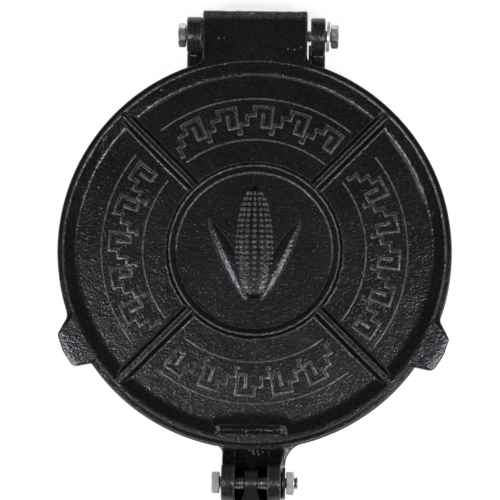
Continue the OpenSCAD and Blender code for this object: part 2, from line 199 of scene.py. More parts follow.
def slab(outline, z_low, z_high, edge, segments=3):
    """A flat plan outline with thickness and rounded edges all round."""
    bm = bmesh.new()
    face = bm.faces.new([bm.verts.new((x, y, z_low)) for x, y in outline])
    bmesh.ops.recalc_face_normals(bm, faces=[face])
    raised = bmesh.ops.extrude_face_region(bm, geom=[face], use_keep_orig=True)
    top = [g for g in raised["geom"] if isinstance(g, bmesh.types.BMVert)]
    bmesh.ops.translate(bm, verts=top, vec=(0, 0, z_high - z_low))
    bmesh.ops.recalc_face_normals(bm, faces=bm.faces)
    sharp = [e for e in bm.edges if e.calc_face_angle(0) > radians(30)]
    bmesh.ops.bevel(
        bm, geom=sharp, offset=edge, offset_type="OFFSET", affect="EDGES", segments=segments,
        profile=0.5, material=-1, clamp_overlap=True,
    )
    # A narrow border inside each large face keeps its middle flat in the shading
    large = [
        f for f in bm.faces
        if f.calc_area() > 6 * edge * edge and min(e.calc_length() for e in f.edges) > 2.5 * edge
    ]
    bmesh.ops.inset_individual(bm, faces=large, thickness=0.4 * edge, use_even_offset=True)
    return bm


def turned(bm, matrix):
    bmesh.ops.transform(bm, matrix=matrix, verts=bm.verts)
    return bm


def side_to_x(bm, from_x):
    """Stands a slab drawn in plan as (Y, Z) upright, so that its thickness runs along X."""
    stand = Matrix(((0, 0, 1, from_x), (1, 0, 0, 0), (0, 1, 0, 0), (0, 0, 0, 1)))
    return turned(bm, stand)


def joined(*parts):
    """Several meshes in one, each still a closed skin of its own."""
    whole = bmesh.new()
    for part in parts:
        mesh = bpy.data.meshes.new("part")
        part.to_mesh(mesh)
        part.free()
        whole.from_mesh(mesh)
        bpy.data.meshes.remove(mesh)
    return whole


def cast_skin(bm, grain=0.05, swell=0.12):
    """Fine and broad unevenness of a casting, always inwards, so that no piece grows."""
    bm.normal_update()
    for v in bm.verts:
        fine = noise.noise(v.co / 3.1) * 0.5 + 0.5
        broad = noise.noise(v.co / 13.0) * 0.5 + 0.5
        v.co -= v.normal * (grain * fine + swell * broad)
    return bm


def mark_edge_wear_and_sheen(bm, extra_wear_and_sheen=None):
    """Writes how sharply the skin bends at each point, for edges lightened as wear and as painted
    highlights; a function of the place, if given, adds to it.
    """
    bend = bm.verts.layers.float.new("edge")
    bm.normal_update()
    for v in bm.verts:
        turn = 0.0
        for e in v.link_edges:
            run = e.other_vert(v).co - v.co
            turn += (e.other_vert(v).normal - v.normal).dot(run) / max(run.length_squared, 0.06)
        v[bend] = max(turn / max(len(v.link_edges), 1), -0.5)
        if extra_wear_and_sheen:
            v[bend] = max(0.0, abs(v[bend]) + extra_wear_and_sheen(v.co))


def new_object(name, bm):
    """Puts a finished bmesh in the scene as an object."""
    mesh = bpy.data.meshes.new(name)
    bm.to_mesh(mesh)
    bm.free()
    obj = bpy.data.objects.new(name, mesh)
    bpy.context.scene.collection.objects.link(obj)
    return obj


def piece(name, bm, material, body, node, smooth=35, extra_wear_and_sheen=None):
    """Makes a finished piece: metres, shading, material, body, and the node that it stands for."""
    mark_edge_wear_and_sheen(bm, extra_wear_and_sheen)
    bmesh.ops.scale(bm, vec=(MM, MM, MM), verts=bm.verts)
    bmesh.ops.recalc_face_normals(bm, faces=bm.faces)
    obj = new_object(name, bm)
    obj.data.materials.append(material)
    obj.data.shade_smooth()
    obj.data.set_sharp_from_angle(angle=radians(smooth))
    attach(obj, body)
    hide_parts(node)
    return obj


def lid_piece(name, bm, smooth=35, extra_wear_and_sheen=None):
    """A piece of the top plate's casting."""
    return piece(name, bm, top_iron, "lid", "top_plate", smooth, extra_wear_and_sheen)


def base_piece(name, bm, extra_wear_and_sheen=None):
    """A piece of the base plate's casting."""
    return piece(name, bm, base_iron, "base", "base_plate", 35, extra_wear_and_sheen)


def bored(obj, y, z, half_len):
    """Drills a bolt's hole along X through a finished piece."""
    bm = bmesh.new()
    lay = Matrix.Translation((0, y, z)) @ Matrix.Rotation(pi / 2, 4, "Y")
    bmesh.ops.create_cone(
        bm, cap_ends=True, segments=48, radius1=BORE_R, radius2=BORE_R, depth=2 * half_len, matrix=lay
    )
    bmesh.ops.scale(bm, vec=(MM, MM, MM), verts=bm.verts)
    drill = new_object("drill", bm)
    cut = obj.modifiers.new("bore", "BOOLEAN")
    cut.operation = "DIFFERENCE"
    cut.solver = "EXACT"
    cut.object = drill
    fix_modifiers(obj)
    mesh = drill.data
    bpy.data.objects.remove(drill)
    bpy.data.meshes.remove(mesh)


def fix_modifiers(obj):
    """Applies all modifiers of a piece to its mesh."""
    bpy.context.view_layer.update()
    graph = bpy.context.evaluated_depsgraph_get()
    mesh = bpy.data.meshes.new_from_object(obj.evaluated_get(graph))
    old = obj.data
    obj.modifiers.clear()
    obj.data = mesh
    bpy.data.meshes.remove(old)


# ---- Materials ----


def add(tree, kind, **sockets):
    node = tree.nodes.new(kind)
    for name, value in sockets.items():
        node.inputs[name.replace("_", " ")].default_value = value
    return node


def feed(tree, node, *sources):
    """Links sources to a node's first sockets, in their order."""
    for source, socket in zip(sources, node.inputs):
        tree.links.new(source, socket)


def ramp(tree, source, stops):
    node = tree.nodes.new("ShaderNodeValToRGB")
    points = node.color_ramp.elements
    while len(points) < len(stops):
        points.new(0.5)
    for point, (place, colour) in zip(points, stops):
        point.position = place
        point.color = (*colour, 1) if isinstance(colour, tuple) else (colour, colour, colour, 1)
    feed(tree, node, source)
    return node.outputs["Color"]


def fractal(tree, where, scale, detail, roughness=0.5, offset=(0, 0, 0)):
    shift = add(tree, "ShaderNodeMapping", Location=offset)
    feed(tree, shift, where)
    node = add(tree, "ShaderNodeTexNoise", Scale=scale, Detail=detail, Roughness=roughness)
    feed(tree, node, shift.outputs["Vector"])
    return node.outputs["Fac"]


def combine(tree, kind, first, second):
    node = tree.nodes.new("ShaderNodeMath")
    node.operation = kind
    for socket, value in zip(node.inputs, (first, second)):
        if isinstance(value, (int, float)):
            socket.default_value = value
        else:
            tree.links.new(value, socket)
    return node.outputs["Value"]


def mixed(tree, share, first, second):
    """Blend of two colours, each a socket or a fixed colour."""
    mix = tree.nodes.new("ShaderNodeMix")
    mix.data_type = "RGBA"
    tree.links.new(share, mix.inputs["Factor"])
    for socket, value in ((mix.inputs["A"], first), (mix.inputs["B"], second)):
        if isinstance(value, tuple):
            socket.default_value = value
        else:
            tree.links.new(value, socket)
    return mix.outputs["Result"]


# The iron's finish: noise scales per metre, and how its bent edges turn lighter, as worn paint and as
# painted highlights
GRIT_SCALE = 850
PIT_SCALE = 1500
WAVE_SCALE = 150
PATCH_SCALE = 28
GRAIN_DEPTH = 0.00016
# Grey of lighter specks on the grit: the casting's grain, and painted glints standing in for its sparkle
SPECK_AND_GLINT_GREY = (0.060, 0.057, 0.066, 1)
# Grey that bent edges turn towards: worn paint, and painted highlights where lamps would catch an edge
WEAR_AND_SHEEN_GREY = (0.15, 0.148, 0.15, 1)
WEAR_AND_SHEEN_FROM = 0.34
WEAR_AND_SHEEN_GAIN = 2.8
WEAR_AND_SHEEN_MOST = 2.2
WEAR_AND_SHEEN_SHARE = 0.42


def blank_material(name):
    material = bpy.data.materials.new(name)
    material.use_nodes = True
    tree = material.node_tree
    shader = tree.nodes["Principled BSDF"]
    where = tree.nodes.new("ShaderNodeTexCoord").outputs["Object"]
    return material, tree, shader, where


def bump(tree, shader, height, strength, distance):
    node = add(tree, "ShaderNodeBump", Strength=strength, Distance=distance)
    tree.links.new(height, node.inputs["Height"])
    tree.links.new(node.outputs["Normal"], shader.inputs["Normal"])


def coat(tree, shader, colour, uneven, spread, rough):
    """Sets a finish's colour, and a roughness that a noise raises by up to the spread."""
    tree.links.new(colour, shader.inputs["Base Color"])
    rough = combine(tree, "ADD", combine(tree, "MULTIPLY", uneven, spread), rough)
    tree.links.new(rough, shader.inputs["Roughness"])


def cast_iron(name, dark, light, rough, shine=0.42, speck_share=0.2):
    """Seasoned sand-cast iron: near black and gritty, with lighter specks that are grain and painted
    glints, and lighter bent edges that are partly wear and partly painted highlights.
    """
    material, tree, shader, where = blank_material(name)
    grit = fractal(tree, where, GRIT_SCALE, 2, 0.55)
    pits = fractal(tree, where, PIT_SCALE, 1, 0.5, (0.3, 0.1, 0.7))
    waves = fractal(tree, where, WAVE_SCALE, 2, 0.5, (0.9, 0.4, 0.2))
    patches = fractal(tree, where, PATCH_SCALE, 4, 0.6, (0.2, 0.8, 0.5))
    height = combine(tree, "ADD", grit, combine(tree, "MULTIPLY", pits, 0.4))
    bump(tree, shader, combine(tree, "ADD", height, waves), 1.0, GRAIN_DEPTH)
    shader.inputs["Specular IOR Level"].default_value = shine
    shader.inputs["Specular Tint"].default_value = (0.94, 0.92, 1.0, 1)
    tint = ramp(tree, patches, [(0.35, dark), (0.65, light)])
    # Lighter specks on the grit's high points: the casting's own grain, and painted glints of its
    # sparkle
    specks_and_glints = combine(tree, "MULTIPLY", ramp(tree, grit, [(0.50, 0.0), (0.72, 1.0)]), speck_share)
    gritty = mixed(tree, specks_and_glints, tint, SPECK_AND_GLINT_GREY)
    # Bent edges turn lighter, hollow ones as much as rounded ones: partly worn paint, and partly painted
    # highlights where lamps would catch the edge
    bend = tree.nodes.new("ShaderNodeAttribute")
    bend.attribute_name = "edge"
    bend = combine(tree, "ABSOLUTE", bend.outputs["Fac"], 0)
    edge_wear_and_sheen = combine(tree, "SUBTRACT", combine(tree, "MULTIPLY", bend, WEAR_AND_SHEEN_GAIN), WEAR_AND_SHEEN_FROM)
    gaps = combine(tree, "ADD", combine(tree, "MULTIPLY", grit, 3.0), -0.8)
    most = add(tree, "ShaderNodeClamp", Max=WEAR_AND_SHEEN_MOST)
    feed(tree, most, combine(tree, "MULTIPLY", edge_wear_and_sheen, gaps))
    edge_wear_and_sheen = combine(tree, "MULTIPLY", most.outputs[0], WEAR_AND_SHEEN_SHARE)
    coat(tree, shader, mixed(tree, edge_wear_and_sheen, gritty, WEAR_AND_SHEEN_GREY), patches, 0.10, rough)
    return material


def smooth_paint():
    """The lever's black paint: smooth, with a low swell."""
    material, tree, shader, where = blank_material("black_paint")
    waves = fractal(tree, where, 90, 3, 0.5)
    fine = fractal(tree, where, 900, 2, 0.5)
    height = combine(tree, "ADD", waves, combine(tree, "MULTIPLY", fine, 0.12))
    bump(tree, shader, height, 0.25, 0.0006)
    colour = ramp(tree, waves, [(0.3, (0.010, 0.010, 0.012)), (0.7, (0.016, 0.016, 0.019))])
    coat(tree, shader, colour, fine, 0.12, 0.26)
    return material


def zinc_plate(name, dark, light, metal, rough):
    """Zinc plating, cloudy between a dark and a light tone."""
    material, tree, shader, where = blank_material(name)
    shader.inputs["Metallic"].default_value = metal
    patches = fractal(tree, where, 260, 3, 0.6)
    fine = fractal(tree, where, 2600, 2, 0.6)
    colour = ramp(tree, patches, [(0.3, dark), (0.7, light)])
    coat(tree, shader, colour, patches, 0.25, rough)
    bump(tree, shader, fine, 0.12, 0.0002)
    return material


def black_steel():
    """The pivot washer's black steel."""
    material, tree, shader, where = blank_material("black_washer")
    shader.inputs["Metallic"].default_value = 0.6
    fine = fractal(tree, where, 1800, 3, 0.6)
    colour = ramp(tree, fine, [(0.35, (0.015, 0.015, 0.017)), (0.75, (0.05, 0.05, 0.055))])
    tree.links.new(colour, shader.inputs["Base Color"])
    shader.inputs["Roughness"].default_value = 0.38
    bump(tree, shader, fine, 0.2, 0.0002)
    return material


top_iron = cast_iron("top_iron", (0.0042, 0.0041, 0.0048), (0.0068, 0.0065, 0.0082), 0.16)
base_iron = cast_iron("base_iron", (0.0040, 0.0039, 0.0045), (0.0064, 0.0061, 0.0075), 0.18)
# Near-black, dull iron for the fork's floor: painted shade, for the deep shadow in the fork
shade_painted_iron = cast_iron(
    "shade_painted_iron", (0.0008, 0.0008, 0.0009), (0.0018, 0.0018, 0.0020), 0.75, shine=0.05, speck_share=0.03
)
black_paint = smooth_paint()
zinc = zinc_plate("zinc_plate", (0.66, 0.67, 0.70), (0.90, 0.90, 0.91), 0.55, 0.24)
worn_zinc = zinc_plate("worn_zinc", (0.26, 0.26, 0.29), (0.80, 0.80, 0.82), 0.85, 0.14)
dull_zinc = zinc_plate("dull_zinc", (0.30, 0.30, 0.32), (0.52, 0.52, 0.53), 1.0, 0.16)
washer_black = black_steel()


# ---- Top plate ----


# Lines that run beside a rib, closest together on its two slopes
RIB_SIDE = (0.5, 0.95, 1.15, 1.35, 1.6, 2.1, 2.7, 3.15, 3.4, 3.65, 4.0, 4.8)
RIB_LINES = [-x for x in reversed(RIB_SIDE)] + list(RIB_SIDE)

# How ragged the relief's lines are, and the bank round the cam bar
STRAY = 0.28
STRAY_SCALE = 2.4
BANK_END = 2.3
BANK_R = 2.6
BANK_W = 3.0


def rib_axes(turn):
    """Directions along a rib and across it."""
    along = polar(1, radians(turn + RIB_TWIST))
    return along, Vector((-along.y, along.x))


def rib_line_point(turn, offset, r):
    """Where a line beside a rib, at a sideways offset, crosses the circle of radius r."""
    along, across = rib_axes(turn)
    foot = Vector((0, RIB_CROSS_Y)) + across * offset
    ahead = foot.dot(along)
    return foot + along * (-ahead + sqrt(r * r - foot.length_squared + ahead * ahead))


def turn_of(p):
    """Angle of a place in plan, counted from the front."""
    a = atan2(p.y, p.x)
    return a if a > radians(-90) else a + 2 * pi


def rib_line_turn(turn, offset, r):
    return turn_of(rib_line_point(turn, offset, r))


def panel_span(n, r):
    """Angles at radius r between which the panel after rib n lies."""
    start = rib_line_turn(RIB_TURNS[n], RIB_LINES[-1], r)
    end = rib_line_turn(RIB_TURNS[(n + 1) % 4], RIB_LINES[0], r)
    return start, (end + 2 * pi if end < start else end)


def relief(x, y):
    """Height of the top plate's upper face inside the rim, with its lines as ragged as cast."""
    stray = noise.noise_vector(Vector((x, y, 0)) / STRAY_SCALE) * STRAY
    x, y = x + stray.x, y + stray.y
    r = hypot(x, y)
    front = max(0.0, -y / max(r, 1.0))
    rim = (r - PANEL_R + 1.2 * front) * PANEL_DEPTH / (RIM_SLOPE_W - 0.4 * front)
    ring_out = (RING_R + RING_W / 2 + RING_OUT_SLOPE - r) * PANEL_DEPTH / RING_OUT_SLOPE
    ring_in = (r - RING_R + RING_W / 2 + RING_IN_SLOPE) * MEDALLION_DEPTH / RING_IN_SLOPE
    ring_in += PANEL_DEPTH - MEDALLION_DEPTH
    if r < RING_R:
        floor = PANEL_DEPTH - MEDALLION_DEPTH
        h = soft_max(ring_in, floor, 0.5)
    else:
        h = soft_max(soft_max(rim, ring_out, 0.8), 0.0, 0.6)
        for turn in RIB_TURNS:
            along, across = rib_axes(turn)
            v = Vector((x, y - RIB_CROSS_Y))
            if v.dot(along) > 0:
                side = abs(v.dot(across))
                rib = (RIB_W / 2 + RIB_SLOPE - side) * PANEL_DEPTH / RIB_SLOPE
                h = soft_max(h, rib, 0.85)
        beside, behind = max(abs(x) - CAM_BAR_HALF + BANK_END, 0.0), max(y - CAM_BAR_Y, 0.0)
        bank = hypot(beside, behind) - BANK_R
        h = soft_max(h, (1 - bank / BANK_W) * PANEL_DEPTH, 0.5)
    return LID_TOP - PANEL_DEPTH + soft_min(h, PANEL_DEPTH, 0.35)


def rounded_path(corners, step):
    """Points along a line through corners (x, y, radius), with each corner rounded."""
    points = [Vector(corners[0][:2])]
    for before, (x, y, r), after in zip(corners, corners[1:], corners[2:]):
        corner = Vector((x, y))
        back = (Vector(before[:2]) - corner).normalized()
        on = (Vector(after[:2]) - corner).normalized()
        turn = back.angle(on)
        reach = r / tan(turn / 2)
        start, end = corner + back * reach, corner + on * reach
        count = max(4, ceil((end - start).length / step))
        run = start - points[-1]
        stops = max(1, ceil(run.length / step))
        points += [points[-1] + run * i / stops for i in range(1, stops)]
        for i in range(count + 1):
            t = i / count
            points.append(start * (1 - t) ** 2 + corner * 2 * t * (1 - t) + end * t * t)
    run = Vector(corners[-1][:2]) - points[-1]
    stops = max(1, ceil(run.length / step))
    return points + [points[-1] + run * i / stops for i in range(1, stops + 1)]


def tab_path():
    """Outline of the right lifting tab, front to rear, by corners of (radius, angle, rounding)."""
    corners = ((101.6, -36.9, 0), (102.0, -35.6, 1.3), (110.8, -33.6, 4.0), (111.3, -28.6, 16))
    corners += ((110.1, -24.0, 2.6), (102.2, -20.4, 5), (101.6, -18.0, 0))
    return rounded_path([(*polar(r, radians(a)), edge) for r, a, edge in corners], 0.7)


def block_path():
    """Outline of the hinge block, from its right root to its left root."""
    corners = []
    for side, width, turn in ((1, BLOCK_RIGHT, 71.9), (-1, BLOCK_LEFT, 70.7)):
        root = PLATE_R * cos(asin(width / PLATE_R))
        start = polar(PLATE_R, radians(turn))
        half = [(side * start.x, start.y, 0), (side * width, root + 0.4, 4.5)]
        half.append((side * width, BLOCK_END_Y, 1.6))
        corners += half if side > 0 else half[::-1]
    path = rounded_path(corners, 0.9)
    for p in path:
        if p.y > BLOCK_END_Y - 0.1:
            p.y -= 0.45 * (0.5 + 0.5 * noise.noise(Vector((p.x / 4.3, 2.6, 0))))
    return path


def circle_run(from_turn, to_turn, spacing=1.15):
    """Points on the rim's edge strictly between two angles."""
    sweep = to_turn - from_turn
    count = max(2, ceil(sweep * PLATE_R / spacing))
    return [polar(PLATE_R, from_turn + sweep * i / count) for i in range(1, count)]


def lid_columns():
    """The lines from the plate's middle to its outline, as (outline point, place).

    A place is ("rib", rib, offset) beside a rib, or ("panel", rib, share) between two.
    """
    right = tab_path()
    left = [Vector((-p.x, p.y)) for p in reversed(right)]
    columns = []
    for n, feature in enumerate((right, block_path(), left, None)):
        for offset in RIB_LINES:
            columns.append((rib_line_point(RIB_TURNS[n], offset, PLATE_R), ("rib", n, offset)))
        start, end = panel_span(n, PLATE_R)
        points = circle_run(start, end)
        if feature:
            before, after = circle_run(start, turn_of(feature[0])), circle_run(turn_of(feature[-1]), end)
            points = before + feature + after
        for p in points:
            a = turn_of(p)
            a += 2 * pi if a < start else 0
            columns.append((p, ("panel", n, (a - start) / (end - start))))
    return columns


def column_turn(place, r):
    """Angle of a column at radius r, where a line beside a rib keeps its offset."""
    kind, n, value = place
    r = max(r, RING_R - 2)
    if kind == "rib":
        return rib_line_turn(RIB_TURNS[n], value, r)
    start, end = panel_span(n, r)
    return start + (end - start) * value


def lid_under(x, y):
    """Height of the top plate's lower side: flat, deeper at the hinge block, higher under a tab."""
    z = LID_Z
    if y > 97 and -BLOCK_LEFT - 1 < x < BLOCK_RIGHT + 1:
        z -= (LID_Z - (HINGE_Z - BLOCK_BELOW)) * smooth_step((y - BLOCK_SLOPE_Y) / BLOCK_SLOPE_L)
    elif hypot(x, y) > PLATE_R:
        z += 2.0 * smooth_step((hypot(x, y) - PLATE_R) / 1.0)
    return z


# Rows of the lower and upper faces, closest together at the ring and the rim's slope
UNDER_RADII = (96, 92, 60, 25, 0)
TOP_RADII = (0, 4, 9, 14, 19, 24, 28.5, 32.5, 36, 38.8, 39.6, 40.1, 40.4, 40.7, 41.2, 42.0, 42.7)
TOP_RADII += (43.0, 43.2, 43.4, 43.65, 43.9, 44.1, 44.3, 44.6, 45.0, 45.35, 45.65, 45.95, 46.4, 47.4)
TOP_RADII += (50, 53, 56, 59, 62, 65, 68, 71, 74, 77, 80, 83, 86, 88.2, 89.6, 90.4, 90.9, 91.4, 91.9)
TOP_RADII += (92.3, 92.8, 93.7, 94.8, 95.7, 96.2, 96.6, 97.0, 97.4, 97.8, 98.1, 98.4, 98.8)


def at_block(p):
    """1 on the hinge block and 0 on the round rim."""
    return smooth_step((p.y - 100) / 3) * smooth_step((33 - abs(p.x)) / 3)


def top_plate_skin():
    """The top plate, in rows from its upper face's middle round to its lower one's."""
    columns = lid_columns()
    outline = [p for p, _ in columns]
    count = len(columns)
    normals = []
    for k in range(count):
        run = outline[(k + 1) % count] - outline[k - 1]
        normals.append(Vector((run.y, -run.x)).normalized())
    rows = [("top", r) for r in TOP_RADII]
    rows += [("rim", t / 8) for t in range(1, 8)]
    rows += [("round", a) for a in (0, 18, 36, 54, 72, 90)]
    rows += [("wall", t) for t in (0.25, 0.5, 0.75)]
    rows += [("tuck", a) for a in (90, 60, 30, 0)]
    rows += [("under_rim", t / 6) for t in range(1, 6)]
    rows += [("under", r) for r in UNDER_RADII]

    def place(i, k):
        kind, value = rows[i]
        p, line = columns[k]
        if kind in ("top", "under"):
            q = polar(value, column_turn(line, value))
            if kind == "under":
                return Vector((q.x, q.y, lid_under(q.x, q.y)))
            z = relief(q.x, q.y) if value < TOP_RADII[-1] else LID_TOP
            return Vector((q.x, q.y, z))
        at_back = smooth_step((p.y - BLOCK_END_Y + BLOCK_EDGE) / BLOCK_EDGE)
        back_y = BLOCK_END_Y - BLOCK_EDGE
        at_tab = smooth_step((hypot(p.x, p.y) - PLATE_R - 0.5) / 3) if p.y < 0 else 0
        edge = RIM_EDGE + (BLOCK_EDGE - RIM_EDGE) * at_back - 0.6 * at_tab
        inset = p - normals[k] * min(edge, RIM_EDGE - 0.3 * at_block(p))
        inset.y = min(inset.y, back_y)
        foot = RIM_UNDER_EDGE + (BLOCK_EDGE - RIM_UNDER_EDGE) * at_back
        foot_inset = p - normals[k] * 1.0
        foot_inset.y = min(foot_inset.y, back_y)
        floor_z = lid_under(p.x, p.y)
        roll = RIM_ROLL * (1 - at_block(p)) * (1 - 0.75 * at_tab) * (1 + 0.4 * max(0.0, -normals[k].y))
        top = LID_TOP - roll
        if kind == "rim":
            q = polar(TOP_RADII[-1], column_turn(line, TOP_RADII[-1])).lerp(inset, value)
            near = 1 - min((q - inset).length / 3.0, 1.0)
            return Vector((q.x, q.y, LID_TOP - roll * near**1.3))
        if kind == "under_rim":
            q = foot_inset.lerp(polar(UNDER_RADII[0], column_turn(line, UNDER_RADII[0])), value)
            return Vector((q.x, q.y, lid_under(q.x, q.y)))
        if kind == "round":
            a = radians(value)
            q = inset.lerp(p, sin(a))
            return Vector((q.x, q.y, top - edge * (1 - cos(a))))
        if kind == "tuck":
            a = radians(value)
            q = foot_inset.lerp(p, sin(a))
            return Vector((q.x, q.y, floor_z + foot * (1 - cos(a))))
        z = (top - edge) * (1 - value) + (floor_z + foot) * value
        return Vector((p.x, p.y, z))

    return skin(len(rows), count, place)


def cam_bar_skin():
    """The bar that the lever presses on, lumpy as cast."""
    half_w, rise = 2.1, 1.9
    bottom = LID_TOP - PANEL_DEPTH
    rings, columns = 64, 20

    def place(i, k):
        run = CAM_BAR_HALF * (1 - 2 * i / (rings - 1))
        near_end = CAM_BAR_HALF - abs(run)
        round_off = sqrt(max(0.0, 1 - max(0.0, 1 - near_end / 2.2) ** 2))
        a = 2 * pi * k / columns
        lump = 0.3 * noise.noise(Vector((run / 1.7, 2.6 * cos(a), 2.6 * sin(a))))
        across = (half_w + lump) * cos(a) * round_off
        up = sin(a) * round_off
        z = LID_TOP + rise * up + lump if up > -0.2 else bottom
        if i in (0, rings - 1):
            across, z = 0.0, bottom
        return Vector((run, CAM_BAR_Y + 0.3 + across, z))

    return skin(rings, columns, place)


def pimples(spots):
    """Small round lumps that the sand leaves on a casting, as (x, y, z, radius, height)."""
    parts = []
    for x, y, z, r, h in spots:
        bm = bmesh.new()
        bmesh.ops.create_icosphere(bm, subdivisions=3, radius=1.0)
        for v in bm.verts:
            v.co *= 1 + 0.22 * noise.noise(v.co * 1.7 + Vector((x, y, z)))
        parts.append(turned(bm, Matrix.Translation((x, y, z)) @ Matrix.Diagonal((r, r, h, 1))))
    return joined(*parts)


def top_plate_painted_highlights(place):
    """Painted highlights: lighter lines at parts of the rim, the ring and the ribs where lamps would
    catch them, and a painted sheen on the hinge block's rear rounding.
    """
    # The hinge block's rear rounding, above the bolt: a painted sheen
    block = 0.42 * smooth_step((place.y - BLOCK_END_Y + 6.4) / 1.2)
    block *= smooth_step((place.z - HINGE_Z) / 2)
    if place.z < LID_TOP - PANEL_DEPTH - 1:
        return block
    r, turn = hypot(place.x, place.y), degrees(atan2(place.y, place.x))
    # Lines at the rim's foot and crest, the ring and its foot: painted highlights
    right_foot = within(turn, 29, 7, 8) * within(r, RIM_FOOT_R, 0.5, 0.8)
    rear_foot = within(turn, 90, 36, 5) * within(r, RIM_FOOT_R, 0.2, 0.6)
    crest = within(turn, 25, 38, 12) * within(r, RIM_IN_R, 0.2, 0.5)
    ring = within(r, RING_R + 0.1, 0.15, 0.4)
    ring_foot = within(turn, 90, 85, 25) * within(r, RING_FOOT_R, 0.25, 0.5)
    painted_sheen = block + 0.8 * right_foot + 0.35 * rear_foot + 0.4 * crest + 0.35 * ring + 0.45 * ring_foot
    # The ribs' edges: painted highlight lines
    for rib_turn, share in zip(RIB_TURNS, (0.15, 0.5, 0.4, 0.45)):
        along, across = rib_axes(rib_turn)
        v = Vector((place.x, place.y - RIB_CROSS_Y))
        if RING_R + 3 < v.dot(along) < RIM_IN_R - 3:
            painted_sheen += share * within(abs(v.dot(across)), RIB_W / 2, 0.1, 0.5)
    return painted_sheen


def knob_highlight_and_wear(place):
    """The knobs are lighter on top than at their sides: a painted highlight on top, partly worn bare."""
    return 0.7 * smooth_step((place.z - LID_TOP - 0.9) / 0.9) - 0.35


def even_wear_and_sheen(share):
    """The same amount all over a piece, of wear and painted highlight on its edges; less than none keeps
    its roundings dark.
    """
    return lambda place: share


def top_plate():
    plate = lid_piece("top_plate_casting", cast_skin(top_plate_skin()), 50, top_plate_painted_highlights)
    bored(plate, HINGE_Y, HINGE_Z, BLOCK_LEFT + 3)
    lid_piece("cam_bar", cast_skin(cam_bar_skin(), 0.12, 0.05), 35, even_wear_and_sheen(-0.22))
    knobs = [
        (15.9, CAM_BAR_Y + 0.7, LID_TOP + 0.2, 2.6, 2.3),
        (17.6, CAM_BAR_Y - 1.5, LID_TOP - 0.1, 1.7, 1.5),
        (-17.2, CAM_BAR_Y + 1.1, LID_TOP + 0.3, 1.5, 1.9),
        (-17.9, CAM_BAR_Y - 1.4, LID_TOP - 0.3, 1.3, 1.2),
    ]
    lid_piece("cam_bar_knobs", pimples(knobs), 35, knob_highlight_and_wear)
    lumps = [
        (-3.1, BLOCK_END_Y - 2.4, LID_TOP - 0.2, 0.9, 0.7),
        (-2.1, BLOCK_END_Y - 1.6, LID_TOP - 0.5, 0.8, 0.7),
        (-19.8, 110.2, LID_TOP - 0.1, 0.6, 0.4),
        (-17.1, 110.1, LID_TOP - 0.1, 0.5, 0.4),
        (16.1, 104.9, LID_TOP - 0.1, 0.6, 0.45),
        (22.8, 105.6, LID_TOP - 0.15, 0.5, 0.4),
        (19.4, 104.5, LID_TOP - 0.1, 0.45, 0.35),
    ]
    # The lumps are lighter all over, as wear and painted highlight
    lid_piece("block_pimples", pimples(lumps), 35, even_wear_and_sheen(0.9))


# ---- Ornament ----

BURIED = 1.0
ORNAMENT_H = 1.25
BAND_R = 68.0
BAND_IN = 10.4
BAND_OUT = 11.0
BAND_LINE_HALF = 0.55
BAND_HALF_TURN = 38.5
FRETS = 5
FRET_CELL = 3.0
FRET_STROKE = 2.2
FRET_PITCH = 18.0


def stroke_outline(path, width):
    """Outline of a stroke of constant width along a path of square corners."""
    half = width / 2
    points = [Vector(p) for p in path]
    heads = [(b - a).normalized() for a, b in zip(points, points[1:])]
    left, right = [], []
    for i, p in enumerate(points):
        before, after = heads[max(i - 1, 0)], heads[min(i, len(heads) - 1)]
        side = Vector((-before.y, before.x)) if i else Vector((-after.y, after.x))
        if 0 < i < len(points) - 1:
            side = side + Vector((-after.y, after.x))
        else:
            p = p - after * half if i == 0 else p + before * half
        left.append(p + side * half)
        right.append(p - side * half)
    return left + right[::-1]


FRET_PATH = ((-0.4, 0), (0, 0), (0, 1.5), (1.3, 1.5), (1.3, 3), (2.6, 3), (2.6, 4.5), (5.4, 4.5))
FRET_PATH += ((5.4, 1.1), (4.0, 1.1), (4.0, 3.1))


def bend_round(bm, turn):
    """Bends a flat strip, drawn as (run, radius), round the panel."""
    for v in bm.verts:
        p = polar(v.co.y, turn - v.co.x / BAND_R)
        v.co = Vector((p.x, p.y, v.co.z))
    return bm


def panel_ornament(turn):
    """A band of stepped frets between two thin raised lines."""
    floor = LID_TOP - PANEL_DEPTH
    top = floor + ORNAMENT_H
    parts = []
    for n in range(FRETS):
        start = (n - FRETS / 2) * FRET_PITCH + 0.6
        path = [(start + x * FRET_CELL, BAND_R + (y - 2.25) * FRET_CELL) for x, y in FRET_PATH]
        parts.append(slab(stroke_outline(path, FRET_STROKE), floor - BURIED, top, 0.5, 3))
    reach = radians(BAND_HALF_TURN) * BAND_R
    steps = 64
    run = [-reach + 2 * reach * i / steps for i in range(steps + 1)]
    for r in (BAND_R - BAND_IN, BAND_R + BAND_OUT):
        line = [(x, r - BAND_LINE_HALF) for x in run] + [(x, r + BAND_LINE_HALF) for x in reversed(run)]
        parts.append(slab(line, floor - BURIED, top - 0.5, 0.35, 2))
    return bend_round(joined(*parts), radians(turn))


MAIZE_L = 46.0
MAIZE_W = 15.0
MAIZE_H = 1.9
MAIZE_Y = 3.0
MAIZE_SCALE = 1.28
KERNEL_RINGS = 19
KERNEL_ROWS = 7


